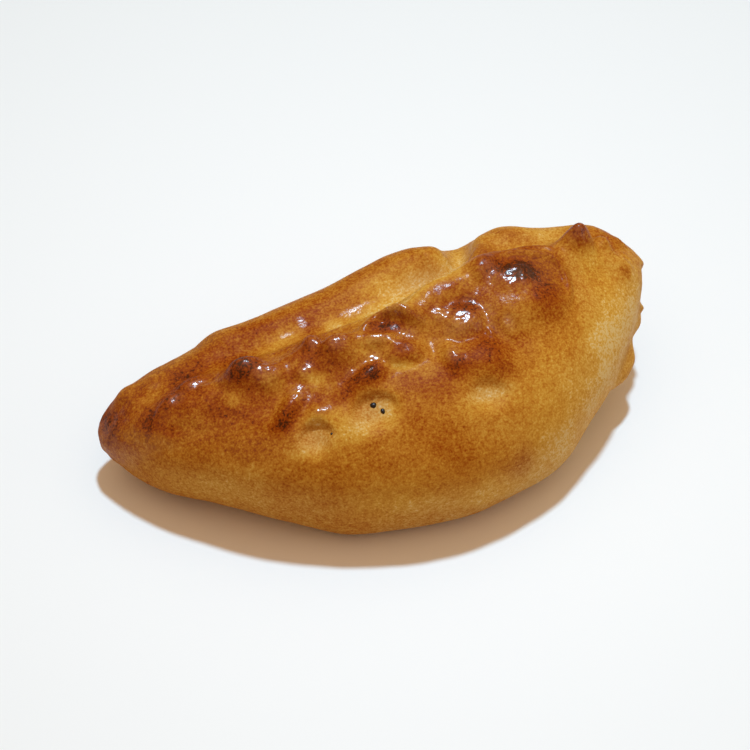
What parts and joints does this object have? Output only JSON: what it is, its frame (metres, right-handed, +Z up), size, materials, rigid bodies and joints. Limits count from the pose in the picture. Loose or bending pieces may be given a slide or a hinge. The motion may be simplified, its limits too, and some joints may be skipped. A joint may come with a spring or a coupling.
{
  "type": "piroshki",
  "caption": "Boat-shaped bun of baked yeast dough, folded over a filling and pinched shut along a knobbly browned seam, with a flat underside.",
  "frame": {"origin": "middle of the bounding box's bottom face, at the level of the flat underside", "axes": "+X along the bun from its slim nose to its blunt tail, +Y towards its flatter back side, +Z up through the pinched seam"},
  "size_m": [0.117, 0.0576, 0.0374],
  "materials": {
    "crust": "egg-washed baked crust, golden brown, glossy on top"
  },
  "bodies": {
    "root": {"pirozhok": "crust"}
  },
  "joints": []
}
